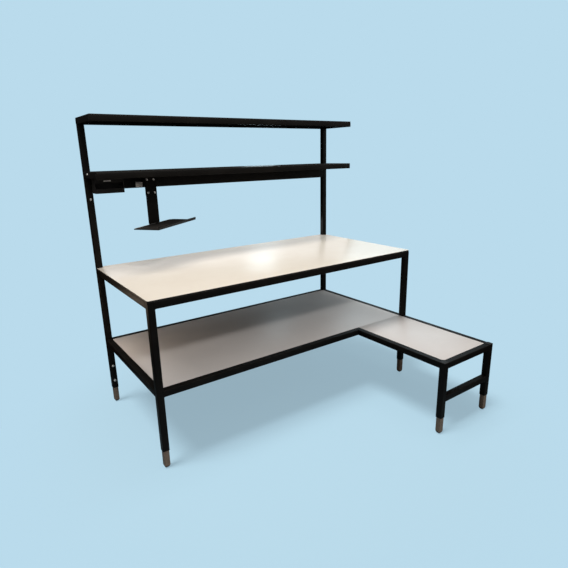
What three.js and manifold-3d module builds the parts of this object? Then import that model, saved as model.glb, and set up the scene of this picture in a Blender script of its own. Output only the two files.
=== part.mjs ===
// Laboratory bench with a raised two-tier shelf and a low shelf that runs forward on one side.
// Millimetres, +Z up. X runs along the bench, and the rear plane is at +Y.
import * as THREE from 'three';
import { mergeVertices } from 'three/addons/utils/BufferGeometryUtils.js';
import Module from 'manifold-3d';

const wasm = await Module();
wasm.setup();

// Overall plan
const LENGTH = 1800;
const BENCH_DEPTH = 888;
const EXT_REACH = 654;
const EXT_WIDTH = 456;

// Heights above the floor
const WORKTOP_Z = 896;
const LOW_SHELF_Z = 432;
const STRETCHER_Z = 232;
const MID_SHELF_Z = 1457;
const TOP_SHELF_Z = 1747;
const MID_BEAM_BOTTOM_Z = 1352;
const LEG_END_Z = 101;

// Sections and boards
const TUBE = 35;
const TUBE_WALL = 2;
const TUBE_RADIUS = 3;
const SHELF_TUBE = 30;
const BEARER_TUBE = 25;
const WORKTOP_BOARD = 10;
const LOW_BOARD = 10;
const SHELF_BOARD = 6;
const SHELF_DEPTH = 300;
const WORKTOP_CORNER = 10;
const LOW_BOARD_CHAMFER = 12;

// Clearances
const BOARD_GAP = 1;
const NOTCH_GAP = 0.5;
const SEAM_GAP = 0.4;
const STOP_GAP = 0.3;
const SPIGOT_GAP = 0.3;
const SWIVEL_GAP = 0.4;
const HOLE_GAP = 0.08;

// Telescopic feet
const FOOT_TUBE = 30;
const GLIDE_BASE = 22;
const GLIDE_SPIGOT = 22;
const GLIDE_DOME = 20.6;
const GLIDE_DOME_HEIGHT = 26;
const GLIDE_FLAT_SAG = 0.8;
const STOP_SCREW_Z = 253;
const SCREW_RADIUS = 4;
const SCREW_HEAD_RADIUS = 7;
const SCREW_HEAD_TOP_RADIUS = 4.5;
const SCREW_HEAD = 4.5;
const SCREW_TIP_GAP = 0.5;

// Hanger and swivelling tray
const HANGER_X = 345;
const HANGER_WIDTH = 67;
const HANGER_PLATE = 6;
const HANGER_STANDOFF = 89;
const HANGER_TOP_DROP = 1;
const HANGER_WEB_HEIGHT = 114;
const HANGER_ARM_WIDTH = 30;
const HANGER_ARM_HEIGHT = 64;
const HANGER_BRACKET_WALL = 4;
const HANGER_FOOT_Z = 1138;
const HANGER_FOOT_REACH = 65;
const PIVOT_FORWARD = 47;
const PIVOT_RADIUS = 4;
const PIVOT_HEAD_RADIUS = 7.5;
const PIVOT_HEAD = 5;
const PIVOT_NUT_RADIUS = 9;
const PIVOT_NUT = 6.5;
const TRAY_LENGTH = 442;
const TRAY_DEPTH = 168;
const TRAY_CORNER = 22;
const TRAY_SHEET = 2;
const TRAY_LIP = 13;
const TRAY_PIVOT_INSET = 12;
const TRAY_OFFSET = -23;
const TRAY_SWIVEL_DEG = 38.5;

// Open-front holder under the middle shelf
const HOLDER_FROM_UPRIGHT = 1;
const HOLDER_WIDTH = 162;
const HOLDER_DEPTH = 60;
const HOLDER_HEIGHT = 86;
const HOLDER_WALL = 2;
const HOLDER_LIP = 26;
const HOLDER_SLOT = 32;
const HOLDER_SLOT_MARGIN = 4;
const HOLDER_FLANGE = 20;

// Derived places: x from the left end, d from the rear plane, z from the floor
const TOTAL_DEPTH = BENCH_DEPTH + EXT_REACH;
const RIGHT_X = LENGTH - TUBE;
const FRONT_D = BENCH_DEPTH - TUBE;
const EXT_X = LENGTH - EXT_WIDTH;
const EXT_FRONT_D = TOTAL_DEPTH - TUBE;
const WORKTOP_RAIL_Z = WORKTOP_Z - WORKTOP_BOARD - TUBE;
const WORKTOP_UNDER_Z = WORKTOP_Z - WORKTOP_BOARD;
const LOW_RAIL_Z = LOW_SHELF_Z - TUBE;
const LOW_BOARD_Z = LOW_SHELF_Z - LOW_BOARD;
const BEARER_Z = LOW_BOARD_Z - BEARER_TUBE;
const TOP_TUBE_Z = TOP_SHELF_Z - SHELF_BOARD - SHELF_TUBE;
const MID_TUBE_Z = MID_SHELF_Z - SHELF_BOARD - SHELF_TUBE;
const SHELF_FRONT_D = SHELF_DEPTH - SHELF_TUBE;
const SEAM_D = FRONT_D - BOARD_GAP;
const FOOT_INNER = FOOT_TUBE - 2 * TUBE_WALL;
const FOOT_TOP_Z = STOP_SCREW_Z - SCREW_RADIUS - STOP_GAP;

const FINISH = {
  frame: new THREE.MeshStandardMaterial({ color: 0x141414, roughness: 0.5, metalness: 0.25 }),
  laminate: new THREE.MeshStandardMaterial({ color: 0xebe4da, roughness: 0.4, metalness: 0 }),
  lowBoard: new THREE.MeshStandardMaterial({ color: 0xd9d2cd, roughness: 0.45, metalness: 0 }),
  foot: new THREE.MeshStandardMaterial({ color: 0x7c7068, roughness: 0.45, metalness: 0.7 }),
  glide: new THREE.MeshStandardMaterial({ color: 0x3b3633, roughness: 0.6, metalness: 0 }),
  screw: new THREE.MeshStandardMaterial({ color: 0xb4b4b2, roughness: 0.35, metalness: 0.9 }),
  sheet: new THREE.MeshStandardMaterial({ color: 0x1a1a1b, roughness: 0.42, metalness: 0.3 }),
  deck: new THREE.MeshStandardMaterial({ color: 0x191919, roughness: 0.4, metalness: 0 }),
};

const group = new THREE.Group();
group.name = 'lab_bench';

// Row coordinates of a place given from the left end and from the rear plane.
const rowX = (x) => x - LENGTH / 2;
const rowY = (d) => TOTAL_DEPTH / 2 - d;

function addMesh(name, geometry, material) {
  geometry.computeVertexNormals();
  const mesh = new THREE.Mesh(geometry, material);
  mesh.name = name;
  group.add(mesh);
  return mesh;
}

// Closed solid for joining and cutting.
function toSolid(geometry) {
  const bare = geometry.clone();
  bare.deleteAttribute('normal');
  bare.deleteAttribute('uv');
  const merged = mergeVertices(bare, 1e-4);
  const mesh = new wasm.Mesh({
    numProp: 3,
    vertProperties: new Float32Array(merged.attributes.position.array),
    triVerts: new Uint32Array(merged.index.array),
  });
  return new wasm.Manifold(mesh);
}

function toGeometry(solid) {
  const mesh = solid.getMesh();
  const geometry = new THREE.BufferGeometry();
  geometry.setAttribute('position', new THREE.BufferAttribute(new Float32Array(mesh.vertProperties), 3));
  geometry.setIndex(new THREE.BufferAttribute(new Uint32Array(mesh.triVerts), 1));
  return geometry;
}

// Square or rectangular outline about the origin, with rounded corners where radius is above zero.
function outline(target, width, height, radius) {
  const w = width / 2;
  const h = height / 2;
  if (radius <= 0) {
    target.moveTo(-w, -h);
    target.lineTo(w, -h);
    target.lineTo(w, h);
    target.lineTo(-w, h);
    target.closePath();
    return target;
  }
  target.moveTo(-w + radius, -h);
  target.lineTo(w - radius, -h);
  target.absarc(w - radius, -h + radius, radius, -Math.PI / 2, 0, false);
  target.lineTo(w, h - radius);
  target.absarc(w - radius, h - radius, radius, 0, Math.PI / 2, false);
  target.lineTo(-w + radius, h);
  target.absarc(-w + radius, h - radius, radius, Math.PI / 2, Math.PI, false);
  target.lineTo(-w, -h + radius);
  target.absarc(-w + radius, -h + radius, radius, Math.PI, 1.5 * Math.PI, false);
  target.closePath();
  return target;
}

// Turns a shape extruded along Z so that it runs along the named axis.
function turnTo(geometry, axis) {
  const turn = new THREE.Matrix4();
  if (axis === 'x') {
    turn.set(0, 0, 1, 0, 1, 0, 0, 0, 0, 1, 0, 0, 0, 0, 0, 1);
  }
  if (axis === 'y') {
    turn.set(0, 1, 0, 0, 0, 0, 1, 0, 1, 0, 0, 0, 0, 0, 0, 1);
  }
  return geometry.applyMatrix4(turn);
}

// Solid bar or hollow tube that fills the stated spans, running along axis.
function bar(x, d, z, axis, radius, wall) {
  const size = [x[1] - x[0], d[1] - d[0], z[1] - z[0]];
  const across = { x: [size[1], size[2]], y: [size[2], size[0]], z: [size[0], size[1]] }[axis];
  const along = { x: size[0], y: size[1], z: size[2] }[axis];
  const shape = outline(new THREE.Shape(), across[0], across[1], radius);
  if (wall > 0) {
    const inside = Math.max(radius - wall, 0);
    shape.holes.push(outline(new THREE.Path(), across[0] - 2 * wall, across[1] - 2 * wall, inside));
  }
  const geometry = new THREE.ExtrudeGeometry(shape, { depth: along, bevelEnabled: false, curveSegments: 3 });
  geometry.translate(0, 0, -along / 2);
  turnTo(geometry, axis);
  geometry.translate(rowX((x[0] + x[1]) / 2), rowY((d[0] + d[1]) / 2), (z[0] + z[1]) / 2);
  return geometry;
}

const tube = (x, d, z, axis) => bar(x, d, z, axis, TUBE_RADIUS, TUBE_WALL);
const block = (x, d, z) => bar(x, d, z, 'z', 0, 0);

// Flat board cut from an outline given in x and d, between two heights.
function board(points, z) {
  const shape = new THREE.Shape(points.map(([x, d]) => new THREE.Vector2(rowX(x), rowY(d))));
  const depth = z[1] - z[0];
  const geometry = new THREE.ExtrudeGeometry(shape, { depth, bevelEnabled: false });
  geometry.translate(0, 0, z[0]);
  return geometry;
}

// Round bar of one or two radii, running along +Z from z0 to z1 at a place in x and d.
function round(x, d, z0, z1, low, high, sides) {
  const geometry = new THREE.CylinderGeometry(high, low, z1 - z0, sides);
  geometry.rotateX(Math.PI / 2);
  geometry.translate(rowX(x), rowY(d), (z0 + z1) / 2);
  return geometry;
}

// Round bar running along Y between two depths.
function roundDeep(x, d0, d1, z, near, far, sides) {
  const geometry = new THREE.CylinderGeometry(near, far, Math.abs(d1 - d0), sides);
  if (d1 < d0) {
    geometry.rotateZ(Math.PI);
  }
  geometry.translate(rowX(x), rowY((d0 + d1) / 2), z);
  return geometry;
}

// One leg: hollow tube with a stop screw, a telescopic foot and a glide.
function addLeg(legName, place, x, d, topZ, screwFacesFront, capped) {
  const xs = [x, x + TUBE];
  const ds = [d, d + TUBE];
  const midX = x + TUBE / 2;
  const faceD = screwFacesFront ? d + TUBE : d;
  const inward = screwFacesFront ? -1 : 1;
  const holeRadius = SCREW_RADIUS + HOLE_GAP;
  const hole = roundDeep(
    midX,
    faceD - inward,
    faceD + inward * (TUBE_WALL + 1),
    STOP_SCREW_Z,
    holeRadius,
    holeRadius,
    20,
  );
  const wallTop = capped ? topZ - TUBE_WALL : topZ;
  let leg = toSolid(tube(xs, ds, [LEG_END_Z, topZ], 'z')).subtract(toSolid(hole));
  if (capped) {
    const inside = [x + TUBE_WALL / 2, x + TUBE - TUBE_WALL / 2];
    const insideD = [d + TUBE_WALL / 2, d + TUBE - TUBE_WALL / 2];
    const cap = bar(inside, insideD, [wallTop, topZ], 'z', TUBE_RADIUS - TUBE_WALL / 2, 0);
    leg = leg.add(toSolid(cap));
  }
  addMesh(legName, toGeometry(leg), FINISH.frame);

  const shankEnd = faceD + inward * (TUBE - TUBE_WALL - SCREW_TIP_GAP);
  const shank = roundDeep(midX, faceD - inward, shankEnd, STOP_SCREW_Z, SCREW_RADIUS, SCREW_RADIUS, 20);
  const headEnd = faceD - inward * SCREW_HEAD;
  const head = roundDeep(midX, faceD, headEnd, STOP_SCREW_Z, SCREW_HEAD_RADIUS, SCREW_HEAD_TOP_RADIUS, 20);
  addMesh(`stop_screw_${place}`, toGeometry(toSolid(shank).add(toSolid(head))), FINISH.screw);

  const slack = (TUBE - FOOT_TUBE) / 2;
  const footX = [x + slack, x + TUBE - slack];
  const footD = [d + slack, d + TUBE - slack];
  addMesh(`foot_${place}`, tube(footX, footD, [GLIDE_BASE, FOOT_TOP_Z], 'z'), FINISH.foot);

  const midD = d + TUBE / 2;
  const half = FOOT_INNER / 2 - SPIGOT_GAP;
  const spigotX = [midX - half, midX + half];
  const spigotD = [midD - half, midD + half];
  const spigot = block(spigotX, spigotD, [GLIDE_BASE - 1, GLIDE_BASE + GLIDE_SPIGOT]);
  const base = bar(footX, footD, [0, GLIDE_BASE], 'z', TUBE_RADIUS, 0);
  const dome = new THREE.SphereGeometry(GLIDE_DOME, 32, 24);
  dome.rotateX(Math.PI / 2);
  dome.scale(1, 1, GLIDE_DOME_HEIGHT / GLIDE_DOME);
  dome.translate(rowX(midX), rowY(midD), GLIDE_DOME_HEIGHT - GLIDE_FLAT_SAG);
  const glide = toSolid(base).intersect(toSolid(dome)).add(toSolid(spigot));
  addMesh(`glide_${place}`, toGeometry(glide), FINISH.glide);
}

// Legs and uprights
addLeg('upright_left', 'rear_left', 0, 0, TOP_TUBE_Z, true, true);
addLeg('upright_right', 'rear_right', RIGHT_X, 0, TOP_TUBE_Z, true, true);
addLeg('leg_front_left', 'front_left', 0, FRONT_D, WORKTOP_UNDER_Z, false, false);
addLeg('leg_front_right', 'front_right', RIGHT_X, FRONT_D, WORKTOP_UNDER_Z, false, false);
addLeg('leg_ext_left', 'ext_left', EXT_X, EXT_FRONT_D, LOW_SHELF_Z, false, true);
addLeg('leg_ext_right', 'ext_right', RIGHT_X, EXT_FRONT_D, LOW_SHELF_Z, false, true);

// Worktop frame and board
const worktopRail = [WORKTOP_RAIL_Z, WORKTOP_UNDER_Z];
const leftBand = [0, TUBE];
const rightBand = [RIGHT_X, LENGTH];
const rearBand = [0, TUBE];
const frontBand = [FRONT_D, BENCH_DEPTH];
const clearX = [TUBE, RIGHT_X];
const clearD = [TUBE, FRONT_D];
addMesh('worktop_rail_front', tube(clearX, frontBand, worktopRail, 'x'), FINISH.frame);
addMesh('worktop_rail_rear', tube(clearX, rearBand, worktopRail, 'x'), FINISH.frame);
addMesh('worktop_rail_left', tube(leftBand, clearD, worktopRail, 'y'), FINISH.frame);
addMesh('worktop_rail_right', tube(rightBand, clearD, worktopRail, 'y'), FINISH.frame);
const middleX = [(LENGTH - TUBE) / 2, (LENGTH + TUBE) / 2];
addMesh('worktop_rail_middle', tube(middleX, clearD, worktopRail, 'y'), FINISH.frame);

function roundedCorner(x, d, towardX, radius) {
  const steps = 5;
  const points = [];
  for (let i = 0; i <= steps; i += 1) {
    const a = (Math.PI / 2) * (i / steps);
    const alongX = radius - radius * Math.cos(a);
    const alongD = radius - radius * Math.sin(a);
    points.push([x + towardX * alongX, d - alongD]);
  }
  return points;
}

const notch = TUBE + NOTCH_GAP;
const worktopOutline = [
  [notch, 0],
  [notch, notch],
  [0, notch],
  ...roundedCorner(0, BENCH_DEPTH, 1, WORKTOP_CORNER),
  ...roundedCorner(LENGTH, BENCH_DEPTH, -1, WORKTOP_CORNER).reverse(),
  [LENGTH, notch],
  [LENGTH - notch, notch],
  [LENGTH - notch, 0],
];
addMesh('worktop', board(worktopOutline, [WORKTOP_UNDER_Z, WORKTOP_Z]), FINISH.laminate);

// Low shelf frame
const lowRail = [LOW_RAIL_Z, LOW_SHELF_Z];
const extBand = [EXT_X, EXT_X + TUBE];
const extFrontBand = [EXT_FRONT_D, TOTAL_DEPTH];
const extClearX = [EXT_X + TUBE, RIGHT_X];
addMesh('low_rail_rear', tube(clearX, rearBand, lowRail, 'x'), FINISH.frame);
addMesh('low_rail_left', tube(leftBand, clearD, lowRail, 'y'), FINISH.frame);
addMesh('low_rail_front', tube([TUBE, EXT_X], frontBand, lowRail, 'x'), FINISH.frame);
addMesh('low_rail_right', tube(rightBand, clearD, lowRail, 'y'), FINISH.frame);
addMesh('ext_rail_left', tube(extBand, [FRONT_D, EXT_FRONT_D], lowRail, 'y'), FINISH.frame);
addMesh('ext_rail_right', tube(rightBand, [BENCH_DEPTH, EXT_FRONT_D], lowRail, 'y'), FINISH.frame);
addMesh('ext_rail_front', tube(extClearX, extFrontBand, lowRail, 'x'), FINISH.frame);
const stretcher = [STRETCHER_Z - TUBE, STRETCHER_Z];
addMesh('stretcher', tube(extClearX, extFrontBand, stretcher, 'x'), FINISH.frame);

// Bearers under the low boards
const bearer = [BEARER_Z, LOW_BOARD_Z];
const seamBand = [SEAM_D - TUBE / 2, SEAM_D + TUBE / 2];
const clearSpan = FRONT_D - TUBE;
const bearerAt = (share) => {
  const start = TUBE + clearSpan * share - BEARER_TUBE / 2;
  return [start, start + BEARER_TUBE];
};
addMesh('seam_rail', tube(extClearX, seamBand, bearer, 'x'), FINISH.frame);
addMesh('bearer_rear', tube(clearX, bearerAt(1 / 3), bearer, 'x'), FINISH.frame);
addMesh('bearer_front', tube(clearX, bearerAt(2 / 3), bearer, 'x'), FINISH.frame);
const extMiddle = (extClearX[0] + extClearX[1] - BEARER_TUBE) / 2;
const extBearerX = [extMiddle, extMiddle + BEARER_TUBE];
addMesh('bearer_ext', tube(extBearerX, [seamBand[1], EXT_FRONT_D], bearer, 'y'), FINISH.frame);

// Low boards, set flush between the rails
const lowBoard = [LOW_BOARD_Z, LOW_SHELF_Z];
const mainX = [TUBE + BOARD_GAP, RIGHT_X - BOARD_GAP];
const mainD = [TUBE + BOARD_GAP, SEAM_D];
addMesh('low_board_main', block(mainX, mainD, lowBoard), FINISH.lowBoard);
const extX = [extClearX[0] + BOARD_GAP, extClearX[1] - BOARD_GAP];
const extD = [SEAM_D + SEAM_GAP, EXT_FRONT_D - BOARD_GAP];
const extOutline = [
  [extX[0], extD[0]],
  [extX[0], extD[1] - LOW_BOARD_CHAMFER],
  [extX[0] + LOW_BOARD_CHAMFER, extD[1]],
  [extX[1], extD[1]],
  [extX[1], extD[0]],
];
addMesh('low_board_ext', board(extOutline, lowBoard), FINISH.lowBoard);

// Top shelf on the uprights' capped ends
const topTube = [TOP_TUBE_Z, TOP_TUBE_Z + SHELF_TUBE];
const shelfFront = [SHELF_FRONT_D, SHELF_DEPTH];
const shelfLeft = [0, SHELF_TUBE];
const shelfRight = [LENGTH - SHELF_TUBE, LENGTH];
const betweenArms = [SHELF_TUBE, LENGTH - SHELF_TUBE];
addMesh('top_arm_left', tube(shelfLeft, [0, SHELF_FRONT_D], topTube, 'y'), FINISH.frame);
addMesh('top_arm_right', tube(shelfRight, [0, SHELF_FRONT_D], topTube, 'y'), FINISH.frame);
addMesh('top_rail_front', tube([0, LENGTH], shelfFront, topTube, 'x'), FINISH.frame);
addMesh('top_rail_rear', tube(betweenArms, [0, SHELF_TUBE], topTube, 'x'), FINISH.frame);
const topDeck = [TOP_SHELF_Z - SHELF_BOARD, TOP_SHELF_Z];
addMesh('top_deck', block([0, LENGTH], [0, SHELF_DEPTH], topDeck), FINISH.deck);

// Middle shelf between and in front of the uprights
const midTube = [MID_TUBE_Z, MID_TUBE_Z + SHELF_TUBE];
const midBeam = [MID_BEAM_BOTTOM_Z, MID_TUBE_Z + SHELF_TUBE];
addMesh('mid_arm_left', tube(shelfLeft, [TUBE, SHELF_FRONT_D], midTube, 'y'), FINISH.frame);
addMesh('mid_arm_right', tube(shelfRight, [TUBE, SHELF_FRONT_D], midTube, 'y'), FINISH.frame);
addMesh('mid_rail_front', tube([0, LENGTH], shelfFront, midTube, 'x'), FINISH.frame);
addMesh('mid_beam', tube(clearX, rearBand, midBeam, 'x'), FINISH.frame);
const midDeckOutline = [
  [notch, 0],
  [notch, notch],
  [0, notch],
  [0, SHELF_DEPTH],
  [LENGTH, SHELF_DEPTH],
  [LENGTH, notch],
  [LENGTH - notch, notch],
  [LENGTH - notch, 0],
];
addMesh('mid_deck', board(midDeckOutline, [MID_SHELF_Z - SHELF_BOARD, MID_SHELF_Z]), FINISH.deck);

// Open-front holder against the beam, with a fixing flange on its right
const holderX = [TUBE + HOLDER_FROM_UPRIGHT, TUBE + HOLDER_FROM_UPRIGHT + HOLDER_WIDTH];
const holderD = [TUBE, TUBE + HOLDER_DEPTH];
const holderTop = MID_TUBE_Z - HANGER_TOP_DROP;
const holderZ = [holderTop - HOLDER_HEIGHT, holderTop];
const hollowX = [holderX[0] + HOLDER_WALL, holderX[1] - HOLDER_WALL];
const hollowD = [holderD[0] + HOLDER_WALL, holderD[1] - HOLDER_WALL];
const hollowZ = [holderZ[0] + HOLDER_WALL, holderZ[1] - HOLDER_WALL];
const slotZ = [holderZ[0] + HOLDER_LIP, holderZ[0] + HOLDER_LIP + HOLDER_SLOT];
const slotX = [holderX[0] + HOLDER_SLOT_MARGIN, holderX[1] - HOLDER_SLOT_MARGIN];
const flangeX = [holderX[1] - HOLDER_WALL, holderX[1] + HOLDER_FLANGE];
const flangeD = [TUBE, TUBE + HOLDER_WALL];
const holder = toSolid(block(holderX, holderD, holderZ))
  .subtract(toSolid(block(hollowX, hollowD, hollowZ)))
  .subtract(toSolid(block(slotX, [hollowD[1] - 1, holderD[1] + 1], slotZ)))
  .add(toSolid(block(flangeX, flangeD, [MID_BEAM_BOTTOM_Z, holderTop])));
addMesh('holder', toGeometry(holder), FINISH.sheet);

// Hanger: channel bracket on the beam, flat plate with a folded foot, pivot bolt and tray
const hangerX = [HANGER_X - HANGER_WIDTH / 2, HANGER_X + HANGER_WIDTH / 2];
const hangerTop = MID_TUBE_Z - HANGER_TOP_DROP;
const webD = TUBE + HANGER_STANDOFF;
const wall = HANGER_BRACKET_WALL;
const armX = [HANGER_X - HANGER_ARM_WIDTH / 2, HANGER_X + HANGER_ARM_WIDTH / 2];
const channel = [
  [armX[0], TUBE],
  [armX[0], webD],
  [armX[1], webD],
  [armX[1], TUBE],
  [armX[1] - wall, TUBE],
  [armX[1] - wall, webD - wall],
  [armX[0] + wall, webD - wall],
  [armX[0] + wall, TUBE],
];
const armZ = [hangerTop - HANGER_ARM_HEIGHT, hangerTop];
const webZ = [hangerTop - HANGER_WEB_HEIGHT, hangerTop];
const bracket = toSolid(board(channel, armZ)).add(toSolid(block(hangerX, [webD - wall, webD], webZ)));
addMesh('hanger_bracket', toGeometry(bracket), FINISH.sheet);

const plateD = [webD, webD + HANGER_PLATE];
const footD = [webD, webD + HANGER_PLATE + HANGER_FOOT_REACH];
const footZ = [HANGER_FOOT_Z, HANGER_FOOT_Z + HANGER_PLATE];
const pivotD = plateD[1] + PIVOT_FORWARD;
const pivotHole = PIVOT_RADIUS + HOLE_GAP;
const plate = toSolid(block(hangerX, plateD, [HANGER_FOOT_Z, hangerTop]))
  .add(toSolid(block(hangerX, footD, footZ)))
  .subtract(toSolid(round(HANGER_X, pivotD, footZ[0] - 1, footZ[1] + 1, pivotHole, pivotHole, 32)));
addMesh('hanger_plate', toGeometry(plate), FINISH.sheet);

// The tray lies on the folded foot: the bolt's head holds it down and the nut is under the foot.
const trayUnder = footZ[1] + SWIVEL_GAP;
const trayTop = trayUnder + TRAY_SHEET;
const headZ = [trayTop + SWIVEL_GAP, trayTop + SWIVEL_GAP + PIVOT_HEAD];
const nutZ = [HANGER_FOOT_Z - PIVOT_NUT, HANGER_FOOT_Z];
const pivot = toSolid(round(HANGER_X, pivotD, nutZ[1] - 1, headZ[0] + 1, PIVOT_RADIUS, PIVOT_RADIUS, 32))
  .add(toSolid(round(HANGER_X, pivotD, headZ[0], headZ[1], PIVOT_HEAD_RADIUS, PIVOT_HEAD_RADIUS, 6)))
  .add(toSolid(round(HANGER_X, pivotD, nutZ[0], nutZ[1], PIVOT_NUT_RADIUS, PIVOT_NUT_RADIUS, 24)));
addMesh('pivot_bolt', toGeometry(pivot), FINISH.screw);

// The tray is drawn square to the bench about its pivot, then swivelled to its place.
const trayX = [TRAY_OFFSET - TRAY_LENGTH / 2, TRAY_OFFSET + TRAY_LENGTH / 2];
const trayRear = TRAY_PIVOT_INSET;
const trayFront = TRAY_PIVOT_INSET - TRAY_DEPTH;
const cornerY = trayRear - TRAY_CORNER;
const trayOutline = new THREE.Shape();
trayOutline.moveTo(trayX[0], trayFront);
trayOutline.lineTo(trayX[1], trayFront);
trayOutline.lineTo(trayX[1], cornerY);
trayOutline.absarc(trayX[1] - TRAY_CORNER, cornerY, TRAY_CORNER, 0, Math.PI / 2, false);
trayOutline.lineTo(trayX[0] + TRAY_CORNER, trayRear);
trayOutline.absarc(trayX[0] + TRAY_CORNER, cornerY, TRAY_CORNER, Math.PI / 2, Math.PI, false);
trayOutline.closePath();
const trayCut = { depth: TRAY_SHEET, bevelEnabled: false, curveSegments: 6 };
const trayFloor = new THREE.ExtrudeGeometry(trayOutline, trayCut);
trayFloor.translate(0, 0, trayUnder);
const trayLip = new THREE.BoxGeometry(TRAY_LENGTH, TRAY_SHEET, TRAY_SHEET + TRAY_LIP);
trayLip.translate(TRAY_OFFSET, trayFront + TRAY_SHEET / 2, trayUnder + (TRAY_SHEET + TRAY_LIP) / 2);
const trayHole = new THREE.CylinderGeometry(pivotHole, pivotHole, 4 * TRAY_SHEET, 32);
trayHole.rotateX(Math.PI / 2);
trayHole.translate(0, 0, trayUnder + TRAY_SHEET / 2);
const tray = toSolid(trayFloor).add(toSolid(trayLip)).subtract(toSolid(trayHole));
const trayGeometry = toGeometry(tray);
trayGeometry.rotateZ(THREE.MathUtils.degToRad(TRAY_SWIVEL_DEG));
trayGeometry.translate(rowX(HANGER_X), rowY(pivotD), 0);
addMesh('tray', trayGeometry, FINISH.sheet);

export default group;
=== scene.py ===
"""Looks of a black square-tube laboratory bench with a two-tier shelf and an L-shaped low shelf."""

import logging
import math
from dataclasses import dataclass, field
from enum import Enum, IntEnum
from typing import Any, Iterable, Protocol, Sequence

import bmesh
import bpy
from mathutils import Matrix, Vector

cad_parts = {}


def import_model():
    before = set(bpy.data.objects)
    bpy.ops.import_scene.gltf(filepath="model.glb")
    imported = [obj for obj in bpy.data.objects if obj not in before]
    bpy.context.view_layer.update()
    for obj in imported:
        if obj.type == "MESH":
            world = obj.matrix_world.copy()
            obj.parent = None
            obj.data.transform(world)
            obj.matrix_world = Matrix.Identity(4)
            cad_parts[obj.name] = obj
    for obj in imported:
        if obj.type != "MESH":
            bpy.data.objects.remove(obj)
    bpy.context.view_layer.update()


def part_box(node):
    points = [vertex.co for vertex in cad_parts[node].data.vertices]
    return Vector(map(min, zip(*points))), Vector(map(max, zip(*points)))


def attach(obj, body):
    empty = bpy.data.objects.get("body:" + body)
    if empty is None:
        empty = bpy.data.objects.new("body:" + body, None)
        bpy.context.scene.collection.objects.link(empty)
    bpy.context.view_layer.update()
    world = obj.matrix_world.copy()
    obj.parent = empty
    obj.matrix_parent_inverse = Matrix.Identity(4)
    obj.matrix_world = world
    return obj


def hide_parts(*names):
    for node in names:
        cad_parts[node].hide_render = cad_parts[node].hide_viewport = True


LOG = logging.getLogger("bench")
MM = 0.001
# Points nearer than this lie on one plane.
CLOSE = 0.01 * MM
# A face with this much of its normal along Z is level.
LEVEL = 0.9
PLACES = ("rear_left", "rear_right", "front_left", "front_right", "ext_left", "ext_right")
Point = tuple[float, float]
Triple = tuple[float, float, float]
Colour = Triple


class Axis(IntEnum):
    """Axis of the bench's frame."""

    X = 0
    Y = 1
    Z = 2


class Run(Enum):
    """Direction that a tube runs in, with the matrix that turns local Z to it."""

    X = Matrix(((0, 0, 1), (1, 0, 0), (0, 1, 0)))
    Y = Matrix(((0, 1, 0), (0, 0, 1), (1, 0, 0)))
    Z = Matrix.Identity(3)


class Facing(Enum):
    """Direction that a screw head, a plug, a tube's end or a lamp faces."""

    FRONT = (0.0, -1.0, 0.0)
    REAR = (0.0, 1.0, 0.0)
    LEFT = (-1.0, 0.0, 0.0)
    RIGHT = (1.0, 0.0, 0.0)
    UP = (0.0, 0.0, 1.0)
    DOWN = (0.0, 0.0, -1.0)


class Rounding(Enum):
    """What a bevel rounds."""

    CORNERS = "VERTICES"
    EDGES = "EDGES"


class FloorShare(Enum):
    """What the floor has of a lamp: the same as the bench, its light alone, or none of it."""

    EVEN = ""
    ALONE = "INCLUDE"
    SPARED = "EXCLUDE"


class Tint(Enum):
    """Colour of a board's face sheet, with the record's slot for it."""

    WHITE = "laminate_white"
    GREY = "laminate_grey"
    BLACK = "laminate_black"


SIDES = (Facing.LEFT, Facing.RIGHT)
ENDS = (Facing.FRONT, Facing.REAR)


class Val:
    """A shader value that Python arithmetic can be done on."""

    def __init__(self, shade: "Shade", socket: bpy.types.NodeSocket) -> None:
        """Wrap an output socket of a node in shade."""
        self.shade = shade
        self.socket = socket

    def _math(self, operation: str, first: Any, second: Any) -> "Val":
        """Add a Math node and return its value."""
        node = self.shade.node("ShaderNodeMath", {"operation": operation}, {0: first, 1: second})
        return Val(self.shade, node.outputs[0])

    def __add__(self, other: Any) -> "Val":
        """Return self + other."""
        return self._math("ADD", self, other)

    def __radd__(self, other: Any) -> "Val":
        """Return other + self."""
        return self._math("ADD", other, self)

    def __sub__(self, other: Any) -> "Val":
        """Return self - other."""
        return self._math("SUBTRACT", self, other)

    def __rsub__(self, other: Any) -> "Val":
        """Return other - self."""
        return self._math("SUBTRACT", other, self)

    def __mul__(self, other: Any) -> "Val":
        """Return self * other."""
        return self._math("MULTIPLY", self, other)

    def __rmul__(self, other: Any) -> "Val":
        """Return other * self."""
        return self._math("MULTIPLY", other, self)

    def ease(self, low: float, high: float) -> "Val":
        """Return a smooth step.

        Args:
            low: Value that gives 0, as all below it do.
            high: Value that gives 1, as all above it do.

        Returns:
            The eased value.
        """
        settings = {"interpolation_type": "SMOOTHSTEP", "clamp": True}
        inputs = {"Value": self, "From Min": low, "From Max": high}
        node = self.shade.node("ShaderNodeMapRange", settings, inputs)
        return Val(self.shade, node.outputs[0])


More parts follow.
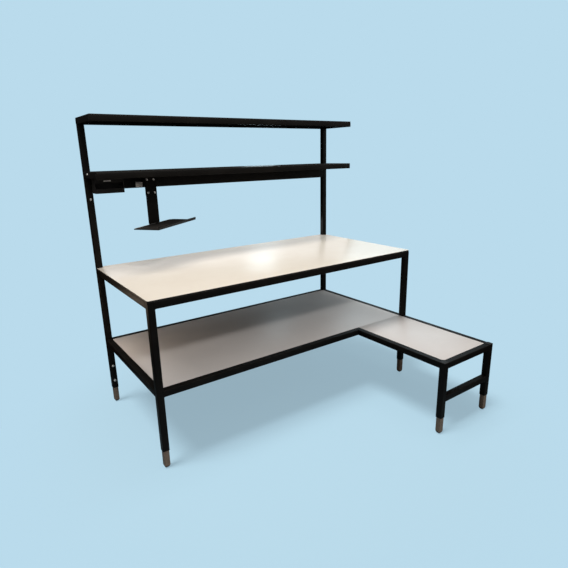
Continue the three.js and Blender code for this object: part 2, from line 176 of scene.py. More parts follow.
class Shade:
    """A node tree in the making."""

    def __init__(self, tree: bpy.types.NodeTree) -> None:
        """Start from an empty node tree."""
        self.tree = tree
        self.tree.nodes.clear()

    def node(self, kind: str, settings: dict[str, Any], inputs: dict[Any, Any]) -> bpy.types.Node:
        """Add a node.

        Args:
            kind: Blender's node type.
            settings: Properties set first, such as an operation.
            inputs: Socket name or number to a number, a colour or a value to link.

        Returns:
            The new node.
        """
        node = self.tree.nodes.new(kind)
        for key, value in settings.items():
            setattr(node, key, value)
        for key, value in inputs.items():
            if isinstance(value, Val):
                self.tree.links.new(value.socket, node.inputs[key])
            elif isinstance(value, tuple) and len(value) == 3 and node.inputs[key].type == "RGBA":
                node.inputs[key].default_value = (*value, 1.0)
            else:
                node.inputs[key].default_value = value
        return node

    def out(self, node: bpy.types.Node, name: Any = 0) -> Val:
        """Return one output of a node."""
        return Val(self, node.outputs[name])

    def place(self) -> Val:
        """Return the object's own coordinates."""
        return self.out(self.node("ShaderNodeTexCoord", {}, {}), "Object")

    def stretched(self, scale: Triple) -> Val:
        """Return the object's own coordinates, multiplied by scale."""
        return self.out(self.node("ShaderNodeMapping", {}, {"Vector": self.place(), "Scale": scale}))

    def noise(self, where: Val, scale: float, detail: float = 2.0, rough: float = 0.5) -> Val:
        """Return a noise of the given scale per metre."""
        inputs = {"Vector": where, "Scale": scale, "Detail": detail, "Roughness": rough}
        return self.out(self.node("ShaderNodeTexNoise", {}, inputs))

    def blend(self, share: Any, first: Any, second: Any) -> Val:
        """Return a colour between first and second."""
        node = self.node("ShaderNodeMix", {"data_type": "RGBA"}, {0: share, 6: first, 7: second})
        return self.out(node, 2)

    def bump(self, height: Val, relief: Point) -> Val:
        """Return a normal raised by height, with the strength and the depth in metres that relief gives."""
        inputs = {"Height": height, "Strength": relief[0], "Distance": relief[1]}
        return self.out(self.node("ShaderNodeBump", {}, inputs))

    def upward(self) -> Val:
        """Return how far the surface faces up, from -1 to 1."""
        normal = self.out(self.node("ShaderNodeNewGeometry", {}, {}), "Normal")
        return self.out(self.node("ShaderNodeSeparateXYZ", {}, {0: normal}), "Z")

    def surface(self, inputs: dict[str, Any]) -> None:
        """Finish a material with one principled surface."""
        shader = self.out(self.node("ShaderNodeBsdfPrincipled", {}, inputs))
        self.node("ShaderNodeOutputMaterial", {}, {"Surface": shader})


def new_shade(name: str) -> tuple[bpy.types.Material, Shade]:
    """Start a material.

    Args:
        name: Its name.

    Returns:
        The material and the shade that fills it.
    """
    material = bpy.data.materials.new(name)
    material.use_nodes = True
    return material, Shade(material.node_tree)


class Finish(Protocol):
    """What every finish can do."""

    def make(self) -> bpy.types.Material:
        """Return the material."""


def made(finish: Finish) -> Any:
    """Return a dataclass field that holds the material of a finish."""
    return field(default_factory=finish.make)


@dataclass(frozen=True)
class PowderCoat:
    """Satin black powder coat with a fine orange peel and a little dust."""

    name: str
    dark: Colour = (0.0036, 0.003, 0.0025)
    worn: Colour = (0.0068, 0.0057, 0.0047)
    dust: Colour = (0.03, 0.025, 0.021)
    dust_share: float = 0.16
    rough: float = 0.4
    gloss: float = 0.12
    clouds: float = 7.0
    specks: float = 160.0
    peel: float = 520.0
    relief: Point = (0.16, 0.4 * MM)

    def make(self) -> bpy.types.Material:
        """Make the coat.

        Returns:
            The material.
        """
        material, shade = new_shade(self.name)
        where = shade.place()
        cloud = shade.noise(where, self.clouds, 4.0, 0.6)
        speck = shade.noise(where, self.specks, 3.0)
        peel = shade.noise(where, self.peel)
        rubbed_and_highlight = (cloud * 0.7 + speck * 0.3).ease(0.42, 0.66)
        drift = (speck * 0.6 + cloud * 0.4).ease(0.3, 0.75)
        lying = shade.upward().ease(0.55, 0.98) * drift * self.dust_share
        shade.surface({
            "Base Color": shade.blend(lying, shade.blend(rubbed_and_highlight, self.dark, self.worn), self.dust),
            "Roughness": self.rough + cloud * 0.12 + speck * 0.06 + lying * 0.5,
            "Specular IOR Level": self.gloss,
            "Normal": shade.bump(peel, self.relief),
        })
        return material


@dataclass(frozen=True)
class Laminate:
    """Satin compact laminate with a faint mottle, a pearl grain and light rubbing."""

    name: str
    tint: Colour
    shadow: Colour
    rough: float = 0.3
    gloss: float = 0.4
    mottle: float = 4.5
    grain: float = 900.0
    streak: Triple = (3.0, 46.0, 3.0)
    rub: Triple = (30.0, 6.0, 6.0)
    relief: Point = (0.07, 0.3 * MM)

    def make(self) -> bpy.types.Material:
        """Make the laminate.

        Returns:
            The material.
        """
        material, shade = new_shade(self.name)
        where = shade.place()
        mottle = shade.noise(where, self.mottle, 4.0, 0.62)
        grain = shade.noise(where, self.grain)
        streak = shade.noise(shade.stretched(self.streak), 2.2, 5.0, 0.68)
        rubbed_and_highlight = shade.noise(shade.stretched(self.rub), 3.0, 6.0, 0.72).ease(0.6, 0.74)
        share = mottle.ease(0.3, 0.75) * 0.55 + streak.ease(0.4, 0.8) * 0.25 + grain * 0.2
        shade.surface({
            "Base Color": shade.blend(share, self.tint, self.shadow),
            "Roughness": self.rough + mottle * 0.1 + rubbed_and_highlight * 0.12,
            "Specular IOR Level": self.gloss,
            "Normal": shade.bump(grain, self.relief),
        })
        return material


@dataclass(frozen=True)
class PressedCore:
    """Black core of compact laminate, with faint pressed layers at its cut edge."""

    name: str
    dark: Colour = (0.0062, 0.0056, 0.0052)
    light: Colour = (0.017, 0.0145, 0.0128)
    rough: float = 0.44
    gloss: float = 0.28
    layers: Triple = (6.0, 6.0, 2600.0)
    specks: float = 420.0
    relief: Point = (0.12, 0.2 * MM)

    def make(self) -> bpy.types.Material:
        """Make the core.

        Returns:
            The material.
        """
        material, shade = new_shade(self.name)
        layers = shade.noise(shade.stretched(self.layers), 1.0)
        speck = shade.noise(shade.place(), self.specks, 3.0)
        shade.surface({
            "Base Color": shade.blend(layers.ease(0.35, 0.7) * 0.7 + speck * 0.3, self.dark, self.light),
            "Roughness": self.rough + layers * 0.16,
            "Specular IOR Level": self.gloss,
            "Normal": shade.bump(layers, self.relief),
        })
        return material


@dataclass(frozen=True)
class DullSteel:
    """Brownish grey steel with drawn streaks along its length and dull blotches."""

    name: str
    light: Colour = (0.25, 0.178, 0.13)
    dark: Colour = (0.165, 0.112, 0.08)
    metallic: float = 0.4
    rough: float = 0.38
    streaks: Triple = (900.0, 900.0, 14.0)
    blotches: float = 85.0
    relief: Point = (0.12, 0.3 * MM)

    def make(self) -> bpy.types.Material:
        """Make the steel.

        Returns:
            The material.
        """
        material, shade = new_shade(self.name)
        drawn = shade.noise(shade.stretched(self.streaks), 1.0, 4.0, 0.6)
        blotch = shade.noise(shade.place(), self.blotches, 4.0, 0.6)
        share = (drawn * 0.3 + blotch * 0.7).ease(0.34, 0.68)
        shade.surface({
            "Base Color": shade.blend(share, self.light, self.dark),
            "Metallic": self.metallic,
            "Roughness": self.rough + blotch * 0.2,
            "Normal": shade.bump(drawn, self.relief),
        })
        return material


@dataclass(frozen=True)
class BrightZinc:
    """Bright plated steel of screws and bolts, with turning marks and light tarnish."""

    name: str
    bright: Colour = (0.8, 0.8, 0.79)
    dull: Colour = (0.5, 0.49, 0.47)
    metallic: float = 0.45
    rough: float = 0.22
    tarnish: float = 420.0
    marks: float = 2600.0
    relief: Point = (0.08, 0.2 * MM)

    def make(self) -> bpy.types.Material:
        """Make the plating.

        Returns:
            The material.
        """
        material, shade = new_shade(self.name)
        where = shade.place()
        tarnish = shade.noise(where, self.tarnish, 4.0, 0.6)
        marks = shade.noise(where, self.marks)
        shade.surface({
            "Base Color": shade.blend(tarnish.ease(0.38, 0.7), self.bright, self.dull),
            "Metallic": self.metallic,
            "Roughness": self.rough + tarnish * 0.2,
            "Normal": shade.bump(marks, self.relief),
        })
        return material


@dataclass(frozen=True)
class MattPlastic:
    """Moulded matt plastic with a fine spark-eroded grain."""

    name: str
    tint: Colour
    pale: Colour
    rough: float = 0.5
    gloss: float = 0.35
    grain: float = 1300.0
    clouds: float = 40.0
    relief: Point = (0.14, 0.3 * MM)

    def make(self) -> bpy.types.Material:
        """Make the plastic.

        Returns:
            The material.
        """
        material, shade = new_shade(self.name)
        where = shade.place()
        grain = shade.noise(where, self.grain)
        cloud = shade.noise(where, self.clouds, 3.0)
        shade.surface({
            "Base Color": shade.blend(cloud.ease(0.35, 0.7), self.tint, self.pale),
            "Roughness": self.rough + grain * 0.14,
            "Specular IOR Level": self.gloss,
            "Normal": shade.bump(grain, self.relief),
        })
        return material


@dataclass(frozen=True)
class GlidePlastic:
    """Matt brownish plastic of a glide, darker where it meets the floor: dark plastic and painted contact
    shade.
    """

    name: str
    tint: Colour = (0.17, 0.118, 0.088)
    pale: Colour = (0.22, 0.155, 0.115)
    plastic_and_contact_shade: Colour = (0.012, 0.0112, 0.0105)
    contact_shade_top: Point = (8.0 * MM, 17.0 * MM)
    contact_shade_waver: float = 5.0 * MM
    rough: float = 0.5
    gloss: float = 0.2
    clouds: float = 60.0
    grain: float = 900.0
    relief: Point = (0.14, 0.3 * MM)

    def make(self) -> bpy.types.Material:
        """Make the plastic.

        Returns:
            The material.
        """
        material, shade = new_shade(self.name)
        where = shade.place()
        cloud = shade.noise(where, self.clouds, 4.0, 0.6)
        grain = shade.noise(where, self.grain)
        height = shade.out(shade.node("ShaderNodeSeparateXYZ", {}, {0: where}), "Z")
        # Darker towards the bottom with a wavering edge: partly dark plastic, partly painted contact shade
        # where the glide meets the floor.
        clear_of_contact_shade = (height + (cloud - 0.5) * self.contact_shade_waver).ease(*self.contact_shade_top)
        plastic = shade.blend(cloud.ease(0.35, 0.7), self.tint, self.pale)
        shade.surface({
            "Base Color": shade.blend(clear_of_contact_shade, self.plastic_and_contact_shade, plastic),
            "Roughness": self.rough + grain * 0.14,
            "Specular IOR Level": self.gloss,
            "Normal": shade.bump(grain, self.relief),
        })
        return material


@dataclass
class Finishes:
    """The bench's finishes, each made once."""

    frame: bpy.types.Material = made(PowderCoat("black_powder_coat"))
    sheet: bpy.types.Material = made(PowderCoat("black_sheet_paint", rough=0.34, gloss=0.08, peel=760.0))
    pan: bpy.types.Material = made(
        PowderCoat("black_tray_paint", dust=(0.052, 0.047, 0.043), dust_share=0.4, rough=0.36))
    box: bpy.types.Material = made(
        PowderCoat("black_holder_paint", (0.026, 0.0255, 0.0255), (0.036, 0.035, 0.0345), rough=0.5,
                   gloss=0.05))
    # The tray hem's pale coat is a painted highlight along the tray's rear edge.
    rubbed_and_highlight: bpy.types.Material = made(
        PowderCoat("sheet_edge_painted_highlight", (0.1, 0.098, 0.095), (0.42, 0.41, 0.39), (0.3, 0.29, 0.27),
                   rough=0.3, gloss=0.5))
    white: bpy.types.Material = made(
        Laminate("warm_white_laminate", (0.808, 0.747, 0.657), (0.765, 0.693, 0.6), 0.27, 0.26))
    deck: bpy.types.Material = made(
        Laminate("black_laminate", (0.0062, 0.0059, 0.0056), (0.0105, 0.0099, 0.0093), 0.34, 0.2))
    grey: bpy.types.Material = made(
        Laminate("pale_laminate", (0.72, 0.682, 0.66), (0.675, 0.635, 0.615), 0.34, 0.36))
    core: bpy.types.Material = made(PressedCore("black_laminate_core"))
    steel: bpy.types.Material = made(DullSteel("dull_foot_steel"))
    glide: bpy.types.Material = made(GlidePlastic("glide_plastic"))
    cap: bpy.types.Material = made(
        MattPlastic("black_cap_plastic", (0.008, 0.008, 0.008), (0.013, 0.0125, 0.012)))
    zinc: bpy.types.Material = made(BrightZinc("bright_zinc"))
    plate: bpy.types.Material = made(
        MattPlastic("grey_satin_plate", (0.6, 0.6, 0.605), (0.7, 0.7, 0.705), 0.4))

    def laminate(self, tint: Tint) -> bpy.types.Material:
        """Return the laminate of a tint."""
        return {Tint.WHITE: self.white, Tint.GREY: self.grey, Tint.BLACK: self.deck}[tint]


def rectangle(low: Point, high: Point) -> list[Point]:
    """Return the corners of a rectangle, from its low corner round by the lower right."""
    return [low, (high[0], low[1]), high, (low[0], high[1])]


def oblong(x: float, y: float) -> list[Point]:
    """Return the corners of a rectangle about the origin from its half sizes."""
    return rectangle((-x, -y), (x, y))


def extent(edge: bmesh.types.BMEdge, axis: Axis) -> float:
    """Return how far an edge reaches along an axis."""
    return abs(edge.verts[0].co[axis] - edge.verts[1].co[axis])


class Form:
    """A mesh in the making, in metres, that operators shape."""

    def __init__(self) -> None:
        """Start from an empty mesh."""
        self.bm = bmesh.new()

    def outline(self, points: Sequence[Point], z: float = 0.0) -> bmesh.types.BMFace:
        """Return one flat face through points at height z."""
        return self.bm.faces.new([self.bm.verts.new((x, y, z)) for x, y in points])

    def _bevel(self, geom: Iterable[Any], offset: float, steps: int, what: Rounding) -> None:
        """Round corners or edges by offset."""
        bmesh.ops.bevel(self.bm, geom=list(geom), offset=offset, offset_type="OFFSET", segments=steps,
                        profile=0.5, affect=what.value, material=-1)

    def rounded(self, face: bmesh.types.BMFace, radii: Sequence[float], steps: int = 5) -> bmesh.types.BMFace:
        """Round the corners of the one flat face of a mesh.

        Args:
            face: A face with as many corners as there are radii.
            radii: Radius of each corner, 0 for a sharp one.
            steps: Segments of each arc.

        Returns:
            The rounded face.
        """
        corners = list(face.verts)
        for radius in sorted({r for r in radii if r > 0}):
            self._bevel([v for v, r in zip(corners, radii) if r == radius], radius, steps, Rounding.CORNERS)
        return max(self.bm.faces, key=lambda f: f.calc_area())

    def soften(self, edges: Iterable[bmesh.types.BMEdge], offset: float, steps: int = 3) -> None:
        """Round edges by offset."""
        self._bevel(edges, offset, steps, Rounding.EDGES)

    def rim(self, both: bool = False) -> set[bmesh.types.BMEdge]:
        """Return the edges round the faces that look up, and round those that look down if both is set."""
        level = [f for f in self.bm.faces if (abs(f.normal.z) if both else f.normal.z) > LEVEL]
        return {e for f in level for e in f.edges}

    def edges_at(self, axis: Axis, value: float) -> list[bmesh.types.BMEdge]:
        """Return the edges that lie at one value of an axis."""
        return [e for e in self.bm.edges if all(abs(v.co[axis] - value) < CLOSE for v in e.verts)]

    def raise_faces(self, faces: Iterable[bmesh.types.BMFace], lift: Vector) -> list[bmesh.types.BMFace]:
        """Extrude faces, with no sheet left where others adjoined them.

        Args:
            faces: The faces.
            lift: How far they move.

        Returns:
            The moved faces.
        """
        old = set(faces)
        adjoined = any(other not in old for face in old for edge in face.edges for other in edge.link_faces)
        raised = bmesh.ops.extrude_face_region(self.bm, geom=list(old))["geom"]
        verts = [g for g in raised if isinstance(g, bmesh.types.BMVert)]
        bmesh.ops.translate(self.bm, vec=lift, verts=verts)
        if adjoined:
            bmesh.ops.delete(self.bm, geom=list(old), context="FACES_ONLY")
        return [g for g in raised if isinstance(g, bmesh.types.BMFace)]

    def slab(self, points: Sequence[Point], radii: Sequence[float], low: float, high: float,
             ease: float = 0.0) -> None:
        """Make a flat board in an empty mesh.

        Args:
            points: Corners in x and y.
            radii: Radius of each corner.
            low: Height of its underside.
            high: Height of its top.
            ease: Rounding of the long edges of both faces.
        """
        self.raise_faces([self.rounded(self.outline(points, low), radii)], Vector((0, 0, high - low)))
        self.right_way_out()
        if ease > 0:
            self.soften(self.rim(both=True), ease)

    def tube(self, low: Vector, high: Vector, run: Run, wall: float, radius: float, steps: int = 6) -> None:
        """Make a hollow rectangular tube in an empty mesh.

        Args:
            low: Lowest corner of the box that it fills.
            high: Highest corner of that box.
            run: Direction that it runs in.
            wall: Thickness of its wall.
            radius: Outer radius of its corners.
            steps: Segments of each corner.
        """
        turn = run.value
        size = turn.transposed() @ (high - low)
        face = self.rounded(self.outline(oblong(size.x / 2, size.y / 2)), [radius] * 4, steps)
        ring = bmesh.ops.inset_region(self.bm, faces=[face], thickness=wall, use_even_offset=True,
                                      use_boundary=True)["faces"]
        bmesh.ops.delete(self.bm, geom=[face], context="FACES")
        self.raise_faces(ring, Vector((0, 0, size.z)))
        bmesh.ops.translate(self.bm, vec=Vector((0, 0, -size.z / 2)), verts=self.bm.verts)
        self.turn(Matrix.Translation((low + high) / 2) @ turn.to_4x4())

    def rod(self, radius: float, length: float, sides: int, middle: Triple = (0.0, 0.0, 0.0)) -> None:
        """Add a closed rod along Z.

        Args:
            radius: Its radius.
            length: Its length.
            sides: Flats round it.
            middle: Its middle.
        """
        verts = bmesh.ops.create_cone(self.bm, cap_ends=True, cap_tris=False, segments=sides, radius1=radius,
                                      radius2=radius, depth=length)["verts"]
        bmesh.ops.translate(self.bm, vec=Vector(middle), verts=verts)

    def bent_line(self, points: Sequence[Triple], radius: float, steps: int = 6) -> None:
        """Draw a line in an empty mesh, rounded at every point between its ends.

        Args:
            points: The points.
            radius: Radius of each bend.
            steps: Segments of each bend.
        """
        verts = [self.bm.verts.new(point) for point in points]
        for start, end in zip(verts, verts[1:]):
            self.bm.edges.new((start, end))
        self._bevel(verts[1:-1], radius, steps, Rounding.CORNERS)

    def scale_face(self, face: bmesh.types.BMFace, by: Triple) -> None:
        """Scale a face about its middle."""
        space = Matrix.Translation(-face.calc_center_median())
        bmesh.ops.scale(self.bm, vec=Vector(by), verts=face.verts, space=space)

    def sweep(self, edges: Iterable[bmesh.types.BMEdge], lift: Vector) -> None:
        """Draw a line of edges out to a sheet."""
        drawn = bmesh.ops.extrude_edge_only(self.bm, edges=list(edges))["geom"]
        bmesh.ops.translate(self.bm, vec=lift, verts=[g for g in drawn if isinstance(g, bmesh.types.BMVert)])

    def wall_inside(self, wall: float, inside: Vector) -> None:
        """Give a bent sheet its wall.

        Args:
            wall: Thickness of the wall.
            inside: A point on the side that the wall stands on.
        """
        self.right_way_out()
        face = max(self.bm.faces, key=lambda f: f.calc_area())
        if face.normal.dot(inside - face.calc_center_median()) > 0:
            bmesh.ops.reverse_faces(self.bm, faces=self.bm.faces)
        bmesh.ops.solidify(self.bm, geom=list(self.bm.faces), thickness=wall)
        self.right_way_out()

    def pour_into(self, target: "Form") -> None:
        """Move this mesh's faces into another form and close this one.

        Args:
            target: The form that takes them.
        """
        mesh = bpy.data.meshes.new("pour")
        self.bm.to_mesh(mesh)
        target.bm.from_mesh(mesh)
        bpy.data.meshes.remove(mesh)
        self.bm.free()

    def turn(self, matrix: Matrix) -> None:
        """Move all of the mesh by a matrix."""
        bmesh.ops.transform(self.bm, matrix=matrix, verts=self.bm.verts)

    def stand(self, y: float) -> None:
        """Stand a board that was made flat up on the plane at y, with its top to the front."""
        self.turn(Matrix.Translation((0, y, 0)) @ Matrix.Rotation(math.radians(90), 4, "X"))

    def right_way_out(self) -> None:
        """Point every face outwards."""
        bmesh.ops.recalc_face_normals(self.bm, faces=self.bm.faces)


def show(form: Form, name: str, material: bpy.types.Material, body: str = "frame",
         nodes: Sequence[str] = (), sharp: float = 32.0) -> None:
    """Turn a form into a finished piece of the bench.

    Args:
        form: The mesh, in the bench's frame.
        name: The piece's name.
        material: Its finish.
        body: The body that it moves with.
        nodes: CAD nodes that it stands for.
        sharp: Edges that turn by more than this many degrees stay sharp.
    """
    form.right_way_out()
    mesh = bpy.data.meshes.new(name)
    form.bm.to_mesh(mesh)
    form.bm.free()
    mesh.polygons.foreach_set("use_smooth", [True] * len(mesh.polygons))
    mesh.set_sharp_from_angle(angle=math.radians(sharp))
    mesh.materials.append(material)
    piece = bpy.data.objects.new(name, mesh)
    bpy.context.scene.collection.objects.link(piece)
    if nodes:
        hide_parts(*nodes)
    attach(piece, body)
    LOG.info("%s: %d faces on %s", name, len(mesh.polygons), body)


def span(node: str) -> tuple[Vector, Vector]:
    """Return the lowest and highest corners of a CAD node."""
    low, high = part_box(node)
    return Vector(low), Vector(high)


def centre(node: str) -> Vector:
    """Return the middle of a CAD node's box."""
    low, high = span(node)
    return (low + high) / 2


def aim(at: Vector, facing: Facing) -> Matrix:
    """Return the matrix that stands local Z along facing at a point."""
    turn = Vector((0, 0, 1)).rotation_difference(Vector(facing.value)).to_matrix()
    return Matrix.Translation(at) @ turn.to_4x4()


class Fastener:
    """A screw or a bolt, of which the head shows."""

    def head(self) -> Form:
        """Return the head and its washer, seated at the origin and facing along Z."""
        raise NotImplementedError

    def add(self, form: Form, at: Vector, facing: Facing) -> None:
        """Add the head and its washer to a form.

        Args:
            form: The form that takes them.
            at: Point that the washer is seated on.
            facing: Direction that the head faces.
        """
        head = self.head()
        head.turn(aim(at, facing))
        head.pour_into(form)


@dataclass
class ButtonScrew(Fastener):
    """Button-head screw with a hexagon socket and a thin washer."""

    radius: float = 6.0 * MM
    height: float = 3.8 * MM
    socket: float = 2.1 * MM
    socket_depth: float = 2.2 * MM
    washer: float = 7.6 * MM
    washer_height: float = 1.2 * MM
    sides: int = 24
    dome_steps: int = 5
    dome_degrees: float = 68.0
    crown_share: float = 0.36
    mouth_shares: Point = (1.28, 1.1)

    def head(self) -> Form:
        """Make the head and its washer.

        Returns:
            Both, seated at the origin and facing along Z.
        """
        head = Form()
        bmesh.ops.create_circle(head.bm, cap_ends=True, segments=self.sides, radius=self.washer)
        face = next(iter(head.bm.faces))
        for radius, z in self._steps():
            face = head.raise_faces([face], Vector((0, 0, z - face.calc_center_median().z)))[0]
            grow = radius / (face.verts[0].co - face.calc_center_median()).length
            head.scale_face(face, (grow, grow, 1.0))
        self._hexagon(face)
        head.raise_faces([face], Vector((0, 0, -self.socket_depth)))
        return head

    def _steps(self) -> list[Point]:
        """Work out the rings of the head.

        Returns:
            Radius and height of each ring, from the washer up to the socket's mouth.
        """
        rings = [(self.washer, self.washer_height), (self.radius, self.washer_height)]
        for i in range(1, self.dome_steps + 1):
            a = i / self.dome_steps * math.radians(self.dome_degrees)
            rings.append((self.radius * (self.crown_share + (1 - self.crown_share) * math.cos(a)),
                          self.washer_height + self.height * math.sin(a)))
        top = self.washer_height + self.height
        return rings + [(self.socket * share, top) for share in self.mouth_shares]

    def _hexagon(self, face: bmesh.types.BMFace) -> None:
        """Pull a round rim to a hexagon.

        Args:
            face: The face inside the rim.
        """
        middle = face.calc_center_median()
        for vert in face.verts:
            arm = vert.co - middle
            turn = math.atan2(arm.y, arm.x)
            reach = self.socket / math.cos((turn + math.pi / 6) % (math.pi / 3) - math.pi / 6)
            vert.co = middle + arm.normalized() * reach


@dataclass
class HexBolt(Fastener):
    """Hexagon bolt head or nut with chamfered corners, and a washer under it."""

    across: float = 13.0 * MM
    height: float = 4.8 * MM
    chamfer: float = 0.8 * MM
    washer: float = 8.0 * MM
    washer_height: float = 1.4 * MM
    washer_ease: float = 0.3 * MM
    washer_sides: int = 28

    def head(self) -> Form:
        """Make the head and its washer.

        Returns:
            Both, seated at the origin and facing along Z.
        """
        head = Form()
        head.rod(self.washer, self.washer_height, self.washer_sides, (0.0, 0.0, self.washer_height / 2))
        head.soften([e for e in head.bm.edges if extent(e, Axis.Z) < CLOSE], self.washer_ease, steps=2)
        nut = Form()
        top = self.washer_height + self.height
        nut.rod(self.across / 2 / math.cos(math.pi / 6), self.height, 6, (0.0, 0.0, top - self.height / 2))
        nut.soften(nut.edges_at(Axis.Z, top), self.chamfer, steps=2)
        nut.pour_into(head)
        return head


@dataclass
class Tubework:
    """All welded tubes of the frame, with plugs in the ends that are open to view."""

    finishes: Finishes
    wall: float = 2.0 * MM
    radius: float = 3.0 * MM
    plug_depth: float = 4.0 * MM
    plug_recess: float = 0.1 * MM
    plug_slack: float = 0.15 * MM
    plug_corner: float = 1.0 * MM
    plug_ease: float = 0.4 * MM
    cap_inset: float = 0.2 * MM
    cap_height: float = 2.6 * MM
    cap_ease: float = 1.8 * MM
    runs: dict[Run, tuple[str, ...]] = field(default_factory=lambda: {
        Run.X: ("worktop_rail_front", "worktop_rail_rear", "low_rail_rear", "low_rail_front",
                "ext_rail_front", "stretcher", "seam_rail", "bearer_rear", "bearer_front", "top_rail_front",
                "top_rail_rear", "mid_rail_front", "mid_beam"),
        Run.Y: ("worktop_rail_left", "worktop_rail_right", "worktop_rail_middle", "low_rail_left",
                "low_rail_right", "ext_rail_left", "ext_rail_right", "bearer_ext", "top_arm_left",
                "top_arm_right", "mid_arm_left", "mid_arm_right"),
        Run.Z: ("upright_left", "upright_right", "leg_front_left", "leg_front_right", "leg_ext_left",
                "leg_ext_right"),
    })
    plugs: tuple[tuple[str, Facing], ...] = (
        ("top_rail_front", Facing.LEFT), ("top_rail_front", Facing.RIGHT),
        ("mid_rail_front", Facing.LEFT), ("mid_rail_front", Facing.RIGHT),
        ("top_arm_left", Facing.REAR), ("top_arm_right", Facing.REAR), ("ext_rail_left", Facing.REAR),
        ("upright_left", Facing.UP), ("upright_right", Facing.UP),
    )
    caps: tuple[str, ...] = ("leg_ext_left", "leg_ext_right")

    def build(self) -> None:
        """Build every tube, then the plugs and the leg caps."""
        for run, nodes in self.runs.items():
            for node in nodes:
                form = Form()
                form.tube(*span(node), run, self.wall, self.radius)
                show(form, f"{node}_tube", self.finishes.frame, nodes=[node])
        for node, facing in self.plugs:
            self._plug(node, facing)
        for node in self.caps:
            self._cap(node)

    def _plug(self, node: str, facing: Facing) -> None:
        """Close one end of a tube with a flush plastic plug.

        Args:
            node: The tube.
            facing: Its end.
        """
        low, high = span(node)
        half = (high - low) / 2
        end = centre(node) + Vector([o * h for o, h in zip(facing.value, half)])
        turn = aim(end, facing)
        room = Vector([0.0 if o else h - self.wall - self.plug_slack for o, h in zip(facing.value, half)])
        reach = turn.to_3x3().transposed() @ room
        form = Form()
        form.slab(oblong(abs(reach.x), abs(reach.y)), [self.plug_corner] * 4, -self.plug_depth,
                  -self.plug_recess, self.plug_ease)
        form.turn(turn)
        show(form, f"{node}_plug_{facing.name.lower()}", self.finishes.cap)

    def _cap(self, node: str) -> None:
        """Put a low domed cap on the top of a short leg.

        Args:
            node: The leg.
        """
        low, high = span(node)
        half = (high.x - low.x) / 2 - self.cap_inset
        form = Form()
        form.slab(oblong(half, half), [self.radius] * 4, 0.0, self.cap_height)
        form.soften(form.rim(), self.cap_ease, steps=4)
        form.turn(Matrix.Translation((*centre(node).xy, high.z)))
        show(form, f"{node}_cap", self.finishes.cap)


@dataclass
class Weldwork:
    """Rippled weld beads in the corners where rails meet legs and uprights.

    Each joint names a tube, its welded ends, and whether the top edge is welded as well as the bottom one.
    """

    finishes: Finishes
    radius: float = 2.5 * MM
    sides: int = 8
    ripples: int = 12
    dip_share: float = 0.84
    end_share: float = 0.55
    margin: float = 2.5 * MM
    sink: float = 0.7 * MM
    sharp: float = 60.0
    joints: tuple[tuple[str, tuple[Facing, ...], bool], ...] = (
        ("worktop_rail_front", SIDES, False), ("worktop_rail_rear", SIDES, False),
        ("worktop_rail_left", ENDS, False), ("worktop_rail_right", ENDS, False),
        ("worktop_rail_middle", ENDS, False), ("low_rail_front", (Facing.LEFT,), True),
        ("low_rail_rear", SIDES, True), ("low_rail_left", ENDS, True), ("low_rail_right", ENDS, True),
        ("ext_rail_right", (Facing.REAR,), True), ("ext_rail_right", (Facing.FRONT,), False),
        ("ext_rail_left", (Facing.FRONT,), False), ("ext_rail_front", SIDES, False),
        ("stretcher", SIDES, True), ("mid_beam", SIDES, False), ("mid_arm_left", (Facing.REAR,), False),
        ("mid_arm_right", (Facing.REAR,), False),
    )

    def build(self) -> None:
        """Build the beads, one piece for each tube."""
        forms: dict[str, Form] = {}
        for node, ends, above in self.joints:
            form = forms.setdefault(node, Form())
            for end in ends:
                for up in ((1, -1) if above else (-1,)):
                    self._bead(form, node, end, up)
        for node, form in forms.items():
            show(form, f"{node}_welds", self.finishes.frame, sharp=self.sharp)

    def _bead(self, form: Form, node: str, end: Facing, up: int) -> None:
        """Add one bead along an edge of a tube's end.

        Args:
            form: The form that takes it.
            node: The tube.
            end: The tube's end.
            up: 1 for the top edge, -1 for the bottom edge.
        """
        low, high = span(node)
        half = (high - low) / 2
        out = Vector(end.value)
        across = Vector((abs(out.y), abs(out.x), 0))
        at = centre(node) + Vector((out.x * half.x, out.y * half.y, up * half.z)) - out * self.sink
        length = 2 * (half.x * across.x + half.y * across.y) - 2 * self.margin
        bead = Form()
        bead.rod(self.radius, length, self.sides)
        flats = [e for e in bead.bm.edges if extent(e, Axis.Z) > length / 2]
        bmesh.ops.subdivide_edges(bead.bm, edges=flats, cuts=2 * self.ripples - 1, use_grid_fill=True)
        step = length / (2 * self.ripples)
        for vert in bead.bm.verts:
            ring = round((vert.co.z + length / 2) / step)
            swell = 1.0 if ring % 2 else self.dip_share
            if ring in (0, 2 * self.ripples):
                swell = self.end_share
            vert.co.x *= swell
            vert.co.y *= swell
        turn = Vector((0, 0, 1)).rotation_difference(across).to_matrix().to_4x4()
        bead.turn(Matrix.Translation(at) @ turn)
        bead.pour_into(form)


